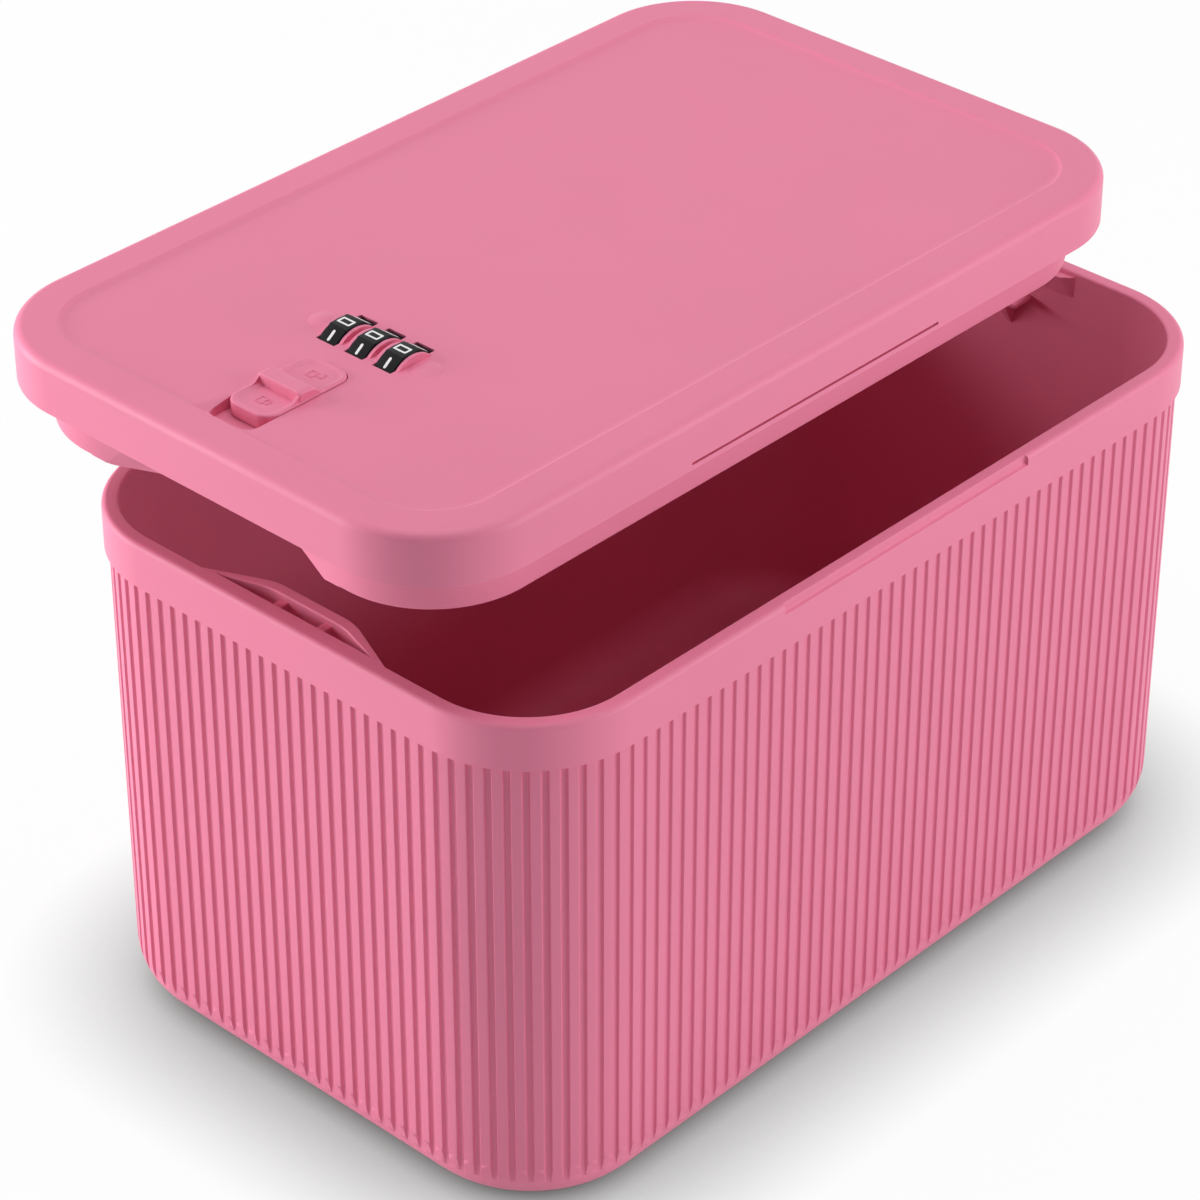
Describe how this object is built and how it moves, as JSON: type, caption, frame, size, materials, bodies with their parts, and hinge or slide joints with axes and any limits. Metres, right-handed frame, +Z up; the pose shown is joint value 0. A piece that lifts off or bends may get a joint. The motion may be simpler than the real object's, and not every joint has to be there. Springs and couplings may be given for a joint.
{
  "type": "medication lock box",
  "caption": "Open fluted storage tub with a lift-off lid that holds a combination lock with turning number wheels and a slide button.",
  "frame": {"origin": "centre of the tub's flat underside, on the surface that the box stands on", "axes": "+Z up, +Y along the tub's length from the lock end to the catch end, +X across its width; the lid is at rest where the picture shows it, lifted off and moved towards the lock end and to -X"},
  "size_m": [0.2142, 0.3362, 0.2415],
  "materials": {
    "pink_plastic": "satin moulded pink",
    "pink_inner_plastic": "satin moulded pink",
    "black_plastic": "satin moulded black with white digits",
    "grey_plastic": "matt moulded grey",
    "steel": "plated",
    "spring_steel": "bright drawn"
  },
  "bodies": {
    "tub_body": {"tub": "pink_plastic"},
    "lid_body": {"lid_shell": "pink_plastic", "lid_liner": "pink_inner_plastic", "liner_screw_1": "steel", "liner_screw_2": "steel", "liner_screw_3": "steel", "liner_screw_4": "steel", "liner_screw_5": "steel", "liner_screw_6": "steel", "lock_frame": "grey_plastic", "frame_screw_1": "steel", "frame_screw_2": "steel", "frame_screw_3": "steel", "frame_screw_4": "steel", "detent_spring": "spring_steel", "wheel_spindle": "steel", "spindle_clip_left": "spring_steel", "spindle_clip_right": "spring_steel", "spindle_spacer": "grey_plastic", "spindle_spring": "spring_steel", "reset_spring": "spring_steel"},
    "left_wheel_body": {"number_wheel_left": "black_plastic", "clutch_sleeve_left": "grey_plastic"},
    "middle_wheel_body": {"number_wheel_middle": "black_plastic", "clutch_sleeve_middle": "grey_plastic"},
    "right_wheel_body": {"number_wheel_right": "black_plastic", "clutch_sleeve_right": "grey_plastic"},
    "slide_body": {"slide_button": "pink_plastic", "latch": "grey_plastic", "latch_screw": "steel"},
    "reset_body": {"reset_button": "black_plastic"}
  },
  "joints": [
    {"name": "lid_lift", "type": "slide", "parent": "tub_body", "child": "lid_body", "axis": [-0.3602, -0.3602, 0.8605], "range_m": [-0.04997, 0.03]},
    {"name": "left_wheel_turn", "type": "hinge", "parent": "lid_body", "child": "left_wheel_body", "pos_m": [-0.0295, -0.1022, 0.2303], "axis": [1, 0, 0], "continuous": true},
    {"name": "middle_wheel_turn", "type": "hinge", "parent": "lid_body", "child": "middle_wheel_body", "pos_m": [-0.018, -0.1022, 0.2303], "axis": [1, 0, 0], "continuous": true},
    {"name": "right_wheel_turn", "type": "hinge", "parent": "lid_body", "child": "right_wheel_body", "pos_m": [-0.0065, -0.1022, 0.2303], "axis": [1, 0, 0], "continuous": true},
    {"name": "button_slide", "type": "slide", "parent": "lid_body", "child": "slide_body", "axis": [0, -1, 0], "range_m": [0, 0.008]},
    {"name": "reset_press", "type": "slide", "parent": "lid_body", "child": "reset_body", "axis": [0, 0, 1], "range_m": [0, 0.002], "stiffness_N_per_m": 400, "springref_m": -0.003, "deforming": ["reset_spring"]}
  ]
}
